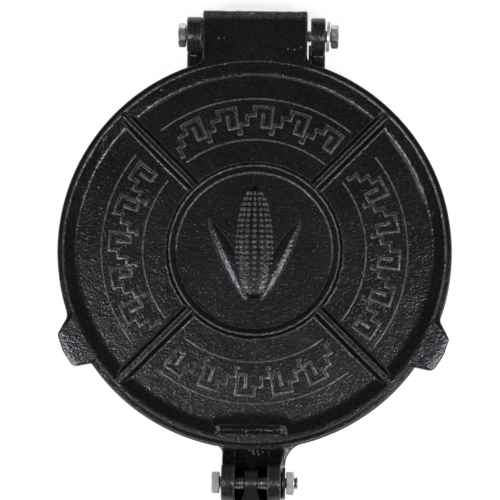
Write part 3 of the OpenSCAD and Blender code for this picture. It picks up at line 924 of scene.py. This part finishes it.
def maize_ear():
    """An upright ear of maize between two husk leaves, in low relief."""
    floor = LID_TOP - MEDALLION_DEPTH
    rows, columns = 20, 32

    def half_width(t):
        return MAIZE_W / 2 * sqrt(max(0.0, 1 - abs(t) ** 2.4)) * (1 - 0.16 * t)

    def body(i, k):
        t = i / (rows - 1) * 2 - 1
        half = half_width(t)
        a = 2 * pi * k / columns
        rise = MAIZE_H * sin(a) * half / (MAIZE_W / 2)
        return Vector((half * cos(a), MAIZE_Y + t * MAIZE_L / 2, floor + rise))

    parts = [skin(rows, columns, body)]
    for n in range(KERNEL_RINGS):
        t = (n + 0.5) / KERNEL_RINGS * 1.8 - 0.88
        half = half_width(t)
        for m in range(KERNEL_ROWS):
            across = (m + 0.5) / KERNEL_ROWS * 2 - 1
            x = half * sin(across * pi / 2) * 0.93
            rise = MAIZE_H * cos(across * pi / 2) * half / (MAIZE_W / 2)
            kernel = bmesh.new()
            bmesh.ops.create_icosphere(kernel, subdivisions=1, radius=1.0)
            size = Matrix.Diagonal((1.15 * half / (MAIZE_W / 2) + 0.15, 1.05, 0.75, 1))
            spot = Matrix.Translation((x, MAIZE_Y + t * MAIZE_L / 2, floor + rise))
            parts.append(turned(kernel, spot @ size))
    for side in (-1, 1):
        parts.append(husk_leaf(side, floor))
    return turned(joined(*parts), Matrix.Diagonal((MAIZE_SCALE, MAIZE_SCALE, 1, 1)))


def husk_leaf(side, floor):
    """One curved leaf with a raised vein."""
    rows, columns = 22, 16
    length, width = 44.0, 9.0

    def place(i, k):
        t = i / (rows - 1)
        half = width / 2 * sin(pi * t) ** 0.8 if 0 < t < 1 else 0.0
        a = 2 * pi * k / columns
        bend = side * (3.0 + 11.0 * t + 5.0 * t * t)
        x = bend + half * cos(a) * 0.95
        y = -21.5 + length * t * 0.8
        vein = 0.35 * max(0.0, 1 - abs(cos(a)) * 3)
        z = floor + (1.15 + vein) * sin(a) * (half / (width / 2)) ** 0.6 if half else floor
        return Vector((x, y, z))

    return skin(rows, columns, place)


def ornaments():
    for n, turn in enumerate((0, 90, 180, 270)):
        lid_piece(f"fret_band_{n + 1}", cast_skin(panel_ornament(turn), 0.05, 0.0), 60)
    lid_piece("maize_ear", cast_skin(maize_ear(), 0.05, 0.0), 60)


# ---- Base plate ----

FOOT_TURNS = (45, 135, 225, 315)


def base_disc_skin():
    """The round plate with its skirt."""
    floor = BASE_TOP - BASE_FLOOR_T
    rings = [(0, BASE_TOP), (30, BASE_TOP), (60, BASE_TOP), (85, BASE_TOP), (97, BASE_TOP)]
    corner, draft = 1.3, 0.3
    rings += [
        (BASE_R - corner + corner * sin(radians(a)), BASE_TOP - corner + corner * cos(radians(a)))
        for a in (0, 22, 45, 68, 90)
    ]
    rings += [(BASE_R - draft / 2, BASE_TOP - 4), (BASE_R - draft, FOOT_H + 3)]
    rings += [
        (BASE_R - draft - corner + corner * sin(radians(a)), FOOT_H + corner - corner * cos(radians(a)))
        for a in (90, 60, 30, 0)
    ]
    inner = BASE_R - SKIRT_W
    rings += [(inner + 0.8, FOOT_H), (inner + 0.2, FOOT_H + 0.4), (inner, FOOT_H + 1.2)]
    rings += [(inner - 0.7, floor - 1.2), (inner - 1.2, floor - 0.4), (inner - 2.2, floor)]
    return round_skin(rings + [(70, floor), (40, floor), (0, floor)], 240)


def arc(y, z, r, from_turn, to_turn, steps=24):
    """Points of an arc in a side view, as (Y, Z)."""
    turns = [radians(from_turn + (to_turn - from_turn) * i / steps) for i in range(steps + 1)]
    return [(y + r * cos(a), z + r * sin(a)) for a in turns]


def mirrored(bm):
    """The same shape on the left side."""
    turned(bm, Matrix.Scale(-1, 4, (1, 0, 0)))
    bmesh.ops.recalc_face_normals(bm, faces=bm.faces)
    return bm


def wear_and_sheen_beside(y, z, front, half_len, faces):
    """Lighter edges on an ear's top, near its two faces, over the bolt at (y, z): worn edges, and a
    painted highlight on the top that faces the lamps.
    """
    def extra_wear_and_sheen(place):
        if place.z < z:
            return 0.0
        inset = min(abs(abs(place.x) - face) for face in faces)
        return 0.55 * within(inset, 0, 0.1, 0.9) * within(place.y, y - front, half_len, 1.5)

    return extra_wear_and_sheen


def hinge_ear(side):
    """An ear beside the hinge block. The right one has a broader root low down."""
    near, far = HINGE_EARS[side]
    front = 180 - degrees(asin((BASE_TOP - HINGE_Z) / EAR_R))
    root_y = sqrt((BASE_R - 4) ** 2 - far * far) - 1
    ear = arc(HINGE_Y, HINGE_Z, EAR_R, -75, front)
    ear += [(root_y, BASE_TOP), (root_y, EAR_LOW), (root_y + 8, EAR_LOW)]
    bm = side_to_x(slab(ear, 0, far - near, EAR_EDGE, 4), near)
    if side < 0:
        return mirrored(bm)
    back = HINGE_Y - 3.0
    root = [(root_y, EAR_LOW), (back - 3, EAR_LOW + 0.3), (back, EAR_LOW + 1.6), (back, FOOT_H + 4.4)]
    root += [(HINGE_Y - 6, FOOT_H + 5.2), (root_y, BASE_TOP - 1.5)]
    low_x = BLOCK_RIGHT + ROOT_GAP
    return joined(bm, side_to_x(slab(root, 0, near + 1 - low_x, 0.6, 3), low_x))


def fork_nose():
    """The fork's low front corner in a side view, as (Y, Z), and its underside back to the plate."""
    corner = arc(FORK_NOSE_Y + FORK_NOSE, EAR_LOW + FORK_NOSE, FORK_NOSE, 180, 270, 8)
    return corner + [(4 - BASE_R, EAR_LOW)]


def fork_ear(side):
    """An ear of the fork. The right one grows broader towards the fork's floor."""
    outline = arc(PIVOT_Y, PIVOT_Z, EAR_R, -25, 180) + fork_nose()
    outline += [(4 - BASE_R, BASE_TOP - 1.5), (-(BASE_R + 0.2), BASE_TOP - 0.7)]
    bm = side_to_x(slab(outline, 0, FORK_EAR_OUT - FORK_EAR_IN, EAR_EDGE, 4), FORK_EAR_IN)
    if side < 0:
        return mirrored(bm)
    for v in bm.verts:
        if v.co.x > FORK_EAR_OUT - 2 and v.co.z < PIVOT_Z - 4:
            v.co.x += FORK_FLARE * smooth_step((PIVOT_Z - 4 - v.co.z) / 9)
    return bm


def fork_floor():
    """Floor of the fork, which joins its ears under the lever."""
    top = EAR_LOW + FORK_FLOOR_T
    side = fork_nose() + [(4 - BASE_R, top), (FORK_NOSE_Y, top)]
    width = 2 * FORK_EAR_IN + 2
    return side_to_x(slab(side, 0, width, 0.7, 3), -width / 2)


def fork_root(side, r, flare):
    """The fillet of radius r between the fork and the plate, outside an ear's flare."""
    cx = FORK_EAR_OUT + flare + r
    cy = -sqrt((BASE_R - 0.2 + r) ** 2 - cx * cx)
    end = degrees(atan2(-cy, -cx))
    outline = [(FORK_EAR_OUT - 2, cy)] + arc(cx, cy, r, 180, end, 14)
    outline += [(cx, 8 - BASE_R), (FORK_EAR_OUT - 2, 8 - BASE_R)]
    bm = slab(outline, EAR_LOW, BASE_TOP - 1.2, 0.8, 3)
    return mirrored(bm) if side < 0 else bm


def foot(turn):
    """A tapered foot, with a rounded edge where it stands."""
    rings = [(0, 0), (5.2, 0), (6.1, 0.4), (6.5, 1.3), (7.4, 6), (8.6, 12), (9.4, 14.5)]
    rings += [(8, 20), (0, 20)]
    return round_skin(rings, 32, polar(PLATE_R - FOOT_IN, radians(turn)))


def under_ribs():
    """The low ring and four ribs under the base plate."""
    below, root = FOOT_H + 2, BASE_TOP - 5
    ring = [(34, below + 1), (33, below), (30, below), (29, below + 1), (29, root), (34, root)]
    parts = [round_skin(ring, 96, closed=True)]
    for turn in FOOT_TURNS:
        bar = slab([(31, -2.5), (97, -2.5), (97, 2.5), (31, 2.5)], below, root, 0.9, 3)
        parts.append(turned(bar, Matrix.Rotation(radians(turn), 4, "Z")))
    return joined(*parts)


def base_plate():
    base_piece("base_disc", cast_skin(base_disc_skin()))
    for side, name in ((1, "right"), (-1, "left")):
        extra_wear_and_sheen = wear_and_sheen_beside(HINGE_Y, HINGE_Z, 3.0, 2.5, HINGE_EARS[side])
        ear = base_piece(f"hinge_ear_{name}", cast_skin(hinge_ear(side)), extra_wear_and_sheen)
        bored(ear, HINGE_Y, HINGE_Z, 40)
        extra_wear_and_sheen = wear_and_sheen_beside(PIVOT_Y, PIVOT_Z, 0.5, 2.2, (FORK_EAR_IN, FORK_EAR_OUT))
        ear = base_piece(f"fork_ear_{name}", cast_skin(fork_ear(side)), extra_wear_and_sheen)
        bored(ear, PIVOT_Y, PIVOT_Z, FORK_EAR_OUT + 3)
        fillet = fork_root(side, *((12, FORK_FLARE) if side > 0 else (4, 0)))
        base_piece(f"fork_fillet_{name}", cast_skin(fillet))
    # The fork's floor takes the near-black iron, as painted shade
    piece("fork_floor", cast_skin(fork_floor()), shade_painted_iron, "base", "base_plate")
    z = EAR_LOW + FORK_FLOOR_T
    flash = [(-1.3, -102.7, z, 0.5, 0.5), (0.5, -103.0, z, 0.7, 0.7), (1.0, -104.3, z, 0.6, 0.6)]
    flash += [(2.9, -103.1, z, 0.6, 0.7), (3.5, -104.6, z, 0.6, 0.6), (5.6, -103.3, z, 0.5, 0.5)]
    # The flash lumps are lighter all over, as wear and painted highlight
    base_piece("fork_flash", pimples(flash), even_wear_and_sheen(0.9))
    base_piece("feet", cast_skin(joined(*(foot(turn) for turn in FOOT_TURNS)), 0.05, 0.05))
    base_piece("under_ribs", cast_skin(under_ribs()))


# ---- Lever ----

HANDLE_T = 11.0
LEVER_LEN = 200.0
LUG_R = 6.7
LUG_HALF = 3.55
LUG_END = 3.2
TIP_FROM = 190.5
TIP_GAP = 0.3
HEEL_R = 7.0
HEEL_RISE = 1.4
HEEL_GAP = 0.4
FOLDED_LIFT = radians(16)
REST_DROP = asin((PIVOT_Z - TIP_GAP - HANDLE_T / 2) / (LEVER_LEN - HANDLE_T / 2))

# The heel's middle along and across the lever: over the cam bar when folded back
CAM_DY = CAM_BAR_Y - PIVOT_Y
CAM_DZ = LID_TOP + CAM_BAR_H - PIVOT_Z + HEEL_GAP + HEEL_R
HEEL_U = CAM_DY * cos(FOLDED_LIFT) + CAM_DZ * sin(FOLDED_LIFT)
HEEL_P = CAM_DY * sin(FOLDED_LIFT) - CAM_DZ * cos(FOLDED_LIFT)


def curve_through(points, x):
    """Smooth value at x of a line through (x, value) points."""
    for (x0, y0), (x1, y1) in zip(points, points[1:]):
        if x <= x1:
            return y0 + (y1 - y0) * smooth_step((x - x0) / (x1 - x0))
    return points[-1][1]


def lever_skin():
    """The lever, from its round lug along the neck and heel to the broad end of the handle."""
    neck_top = HEEL_P + HEEL_R - HEEL_RISE
    tops = [(-LUG_R, 0), (LUG_END, 5.9), (11, neck_top), (60, neck_top), (110, 5.0), (190, 5.4)]
    bottoms = [(LUG_END, -5.9), (11, -7.2), (HEEL_U, neck_top - 12), (70, -6.4), (190, -5.4)]
    widths = [(3.7, LUG_HALF), (12, 5.6), (20, 7.0), (45, 7.0), (90, 6.3), (185, 9.5)]
    stations = [-LUG_R, -6.55, -6.1, -5.2, -4.0, -2.4, -0.8, 0.8, 2.2, 3.7, 5.4, 7.4, 9.6, 12, 15, 18]
    stations += [20, 22, 23.5, 25, 26.5, 28, 29.5, 31, 33, 36, 40, 46, 54, 64, 76, 90, 105, 120, 135]
    stations += [150, 162, 172, 180, 186, 190, 193.2, 195.8, 197.8, 199.2, 199.8, LEVER_LEN]
    columns = 32

    def section(u):
        if u <= LUG_END:
            top = sqrt(max(LUG_R**2 - u * u, 0.0))
            return LUG_HALF, top, -top
        top, bottom = curve_through(tops, u), curve_through(bottoms, u)
        heel = HEEL_R**2 - (u - HEEL_U) ** 2
        if heel > 0:
            top = soft_max(top, HEEL_P + sqrt(heel), 0.8)
        half = curve_through(widths, u)
        if u > TIP_FROM:
            shrink = sqrt(max(0.0, 1 - ((u - TIP_FROM) / (LEVER_LEN - TIP_FROM)) ** 2))
            half, top, bottom = half * shrink, top * shrink, bottom * shrink
        return half, top, bottom

    def place(i, k):
        u = stations[i]
        half, top, bottom = section(u)
        a = 2 * pi * k / columns
        square = curve_through([(4, 0.22), (30, 0.35), (120, 0.62), (190, 0.7)], u)
        cx, sx = cos(a), sin(a)
        x = half * abs(cx) ** square * (1 if cx >= 0 else -1)
        p = abs(sx) ** square * (1 if sx >= 0 else -1)
        middle, reach = (top + bottom) / 2, (top - bottom) / 2
        if i in (0, len(stations) - 1):
            x, p = 0, 0
        return Vector((x, -u, middle + reach * p))

    bm = skin(len(stations), columns, place)
    return turned(bm, Matrix.Translation((0, PIVOT_Y, PIVOT_Z)) @ Matrix.Rotation(REST_DROP, 4, "X"))


def lever():
    bm = cast_skin(lever_skin(), 0.0, 0.15)
    casting = piece("lever_casting", bm, black_paint, "lever", "lever", 50)
    bored(casting, PIVOT_Y, PIVOT_Z, 9)


# ---- Bolts, nuts and washers ----

HEX_AF = 11.1
HEX_H = 4.0
THREAD_PITCH = 1.27
THREAD_DEPTH = 0.62
WASHER_R = 7.95
WASHER_T = 1.6
WASHER_CLEAR = 0.25


def hex_reach(a):
    """Distance from the middle of a hexagon to its edge, in direction a."""
    sector = radians(60)
    return HEX_AF / 2 / cos((a + sector / 2) % sector - sector / 2)


def hex_prism(hole=0.0):
    """A hexagon with its corners turned off, for a bolt's head or a nut. It stands along +Z."""
    flat = HEX_AF / 2 * 0.93
    chamfer = tan(radians(30))
    columns = 72

    def outer(a, top):
        reach = hex_reach(a) - 0.12
        cut = (reach - flat) * chamfer
        return reach, (HEX_H - cut if top else cut * 0.6)

    if hole:
        rows = "bore_low lip_low face_low edge_low edge_high face_high lip_high bore_high".split()
    else:
        rows = "pole_low face_low edge_low edge_high face_high dish pole_high".split()

    def place(i, k):
        a = 2 * pi * k / columns
        row = rows[i]
        if row.startswith("pole"):
            return Vector((0, 0, 0 if row == "pole_low" else HEX_H - 0.15))
        r, z = {
            "bore_low": (hole, 0.5), "lip_low": (hole + 0.5, 0), "face_low": (flat, 0),
            "edge_low": outer(a, False), "edge_high": outer(a, True), "face_high": (flat, HEX_H),
            "lip_high": (hole + 0.5, HEX_H), "bore_high": (hole, HEX_H - 0.5),
            "dish": (flat * 0.7, HEX_H - 0.15),
        }[row]
        return Vector((r * cos(a), r * sin(a), z))

    return skin(len(rows), columns, place, closed=bool(hole))


def shank(length, thread_from):
    """A bolt's shank along +Z, threaded from a given distance to its end."""
    root, crest = BOLT_R - THREAD_DEPTH, BOLT_R - 0.02
    rings = [(0, -0.5), (crest, -0.5), (crest, thread_from)]
    z = thread_from
    while z < length - 1.0:
        rings += [(root, z + 0.38), (root, z + 0.48), (crest, z + 0.86), (crest, z + THREAD_PITCH)]
        z += THREAD_PITCH
    rings += [(root, min(z + 0.4, length - 0.2)), (root - 0.3, length), (0, length)]
    return round_skin(rings, 32)


def on_axis(bm, x, y, z, turn=0):
    """Lays a fastener drawn along +Z on a bolt's axis, along +X."""
    lay = Matrix.Translation((x, y, z)) @ Matrix.Rotation(pi / 2, 4, "Y")
    return turned(bm, lay @ Matrix.Rotation(radians(turn), 4, "Z"))


def bolt(name, node, y, z, thread_from, head_turn, plating, shank_plating, short=0.0):
    """A bolt with its head at the left, threaded from a distance behind it."""
    left, right = low(node).x, high(node).x - short
    head = hex_prism()
    turned(head, Matrix.Translation((0, 0, HEX_H)) @ Matrix.Rotation(pi, 4, "X"))
    on_axis(head, left, y, z, head_turn)
    body = on_axis(shank(right - left - HEX_H, thread_from), left + HEX_H, y, z)
    piece(f"{name}_head", head, plating, "base", node, 30)
    piece(f"{name}_shank", body, shank_plating, "base", node, 30)


def nut(name, node, y, z, turn, plating):
    bm = on_axis(hex_prism(BOLT_R + 0.02), low(node).x, y, z, turn)
    piece(name, bm, plating, "base", node, 30)


def washer(name, node, y, z, material, tilt=0.0):
    t, r, hole = WASHER_T, WASHER_R, BOLT_R + WASHER_CLEAR
    ring = [(hole, 0.3), (hole + 0.3, 0), (r - 0.5, 0), (r - 0.1, 0.15), (r, 0.5), (r, t - 0.25)]
    ring += [(r - 0.25, t), (hole + 0.2, t), (hole, t - 0.2)]
    bm = round_skin(ring, 64, closed=True)
    turned(bm, Matrix.Rotation(radians(tilt), 4, "X"))
    on_axis(bm, low(node).x, y, z)
    piece(name, bm, material, "base", node, 40)


def fasteners():
    bolt("hinge_bolt_zinc", "hinge_bolt", HINGE_Y, HINGE_Z, 58, 5, worn_zinc, zinc, 1.7)
    nut("hinge_nut_zinc", "hinge_nut", HINGE_Y, HINGE_Z, 0, worn_zinc)
    washer("hinge_washer_zinc", "hinge_washer", HINGE_Y, HINGE_Z, zinc, 2.4)
    bolt("pivot_bolt_zinc", "pivot_bolt", PIVOT_Y, PIVOT_Z, 4, 30, zinc, dull_zinc)
    nut("pivot_nut_zinc", "pivot_nut", PIVOT_Y, PIVOT_Z, -22, zinc)
    washer("pivot_washer_black", "pivot_washer", PIVOT_Y, PIVOT_Z, washer_black)


# ---- Studio ----


# A white cove round the horizon, and a dim ceiling above it
COVE_HIGH = 0.10
CEILING_LEVEL = 0.08
FLOOR_GREY = 0.45
FLOOR_GLOW = 0.82

# Two soft lights over the front, in metres and watts
LIGHT_ASIDE = 0.31
LIGHT_Y = -0.19
LIGHT_UP = 0.87
LIGHT_AIM = (0, -0.02, 0)
LIGHT_SIZE = 0.14
LIGHT_POWER = 3.2


def floor():
    """A pale floor that looks lighter than it lights the press."""
    bm = bmesh.new()
    bmesh.ops.create_grid(bm, x_segments=1, y_segments=1, size=3.0)
    obj = new_object("floor", bm)
    material = bpy.data.materials.new("pale_floor")
    material.use_nodes = True
    tree = material.node_tree
    tree.nodes.clear()
    out = tree.nodes.new("ShaderNodeOutputMaterial")
    matt = add(tree, "ShaderNodeBsdfDiffuse", Color=(FLOOR_GREY, FLOOR_GREY, FLOOR_GREY, 1))
    glow = add(tree, "ShaderNodeEmission", Color=(1, 1, 1, 1), Strength=FLOOR_GLOW)
    both = tree.nodes.new("ShaderNodeAddShader")
    path = tree.nodes.new("ShaderNodeLightPath")
    seen = combine(tree, "MAXIMUM", path.outputs["Is Camera Ray"], path.outputs["Is Glossy Ray"])
    seen = combine(tree, "MAXIMUM", seen, path.outputs["Is Transmission Ray"])
    mix = tree.nodes.new("ShaderNodeMixShader")
    feed(tree, both, matt.outputs[0], glow.outputs[0])
    feed(tree, mix, seen, matt.outputs[0], both.outputs[0])
    feed(tree, out, mix.outputs[0])
    obj.data.materials.append(material)
    obj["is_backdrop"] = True


def soft_light(name, place):
    lamp = bpy.data.lights.new(name, "AREA")
    lamp.shape = "RECTANGLE"
    lamp.size = LIGHT_SIZE
    lamp.size_y = LIGHT_SIZE
    lamp.energy = LIGHT_POWER
    obj = bpy.data.objects.new(name, lamp)
    obj.location = place
    obj.rotation_euler = (Vector(LIGHT_AIM) - Vector(place)).to_track_quat("-Z", "Y").to_euler()
    bpy.context.scene.collection.objects.link(obj)
    obj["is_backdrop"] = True


def studio():
    floor()
    world = bpy.data.worlds.new("studio")
    bpy.context.scene.world = world
    world.use_nodes = True
    tree = world.node_tree
    back = tree.nodes["Background"]
    split = tree.nodes.new("ShaderNodeSeparateXYZ")
    feed(tree, split, tree.nodes.new("ShaderNodeTexCoord").outputs["Generated"])
    cove = ramp(tree, split.outputs["Z"], [(0.0, 1.0), (COVE_HIGH, CEILING_LEVEL)])
    path = tree.nodes.new("ShaderNodeLightPath")
    strength = combine(tree, "MAXIMUM", path.outputs["Is Camera Ray"], cove)
    tree.links.new(strength, back.inputs["Strength"])
    back.inputs["Color"].default_value = (1, 1, 1, 1)
    for side, name in ((-1, "left"), (1, "right")):
        soft_light(f"front_{name}_light", (side * LIGHT_ASIDE, LIGHT_Y, LIGHT_UP))


# Where the middle of the top plate lies in an image 500 wide, and the scale there
PICTURE = 500
MIDDLE_X = 254.2
MIDDLE_Y = 249.8
MM_PER_PIXEL = 0.514
CAMERA_DISTANCE = 1200.0
SENSOR_W = 36.0
TILT_FRONT = 5.5
TILT_RIGHT = 1.0
ROLL = 0.7


def camera():
    lens = bpy.data.cameras.new("camera")
    obj = bpy.data.objects.new("camera", lens)
    bpy.context.scene.collection.objects.link(obj)
    lens.sensor_width = SENSOR_W
    lens.lens = SENSOR_W * CAMERA_DISTANCE / (PICTURE * MM_PER_PIXEL)
    lens.clip_start = 0.01
    lens.clip_end = 20
    turn = Matrix.Rotation(radians(TILT_FRONT), 4, "X") @ Matrix.Rotation(radians(TILT_RIGHT), 4, "Y")
    turn = turn @ Matrix.Rotation(radians(ROLL), 4, "Z")
    half = PICTURE / 2
    aim = Vector(((half - MIDDLE_X) * MM_PER_PIXEL, (MIDDLE_Y - half) * MM_PER_PIXEL, 0))
    middle = Vector((0, 0, LID_TOP)) + turn.to_3x3() @ aim
    place = middle + turn.to_3x3() @ Vector((0, 0, CAMERA_DISTANCE))
    obj.matrix_world = Matrix.Translation(place * MM) @ turn
    bpy.context.scene.camera = obj


top_plate()
ornaments()
base_plate()
lever()
fasteners()
studio()
camera()

bpy.context.scene.view_settings.view_transform = "Standard"
bpy.context.view_layer.update()
sizes = {"cad": cad_box, "visual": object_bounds()}
{k: [list(map(float, corner)) for corner in v] for k, v in sizes.items()}
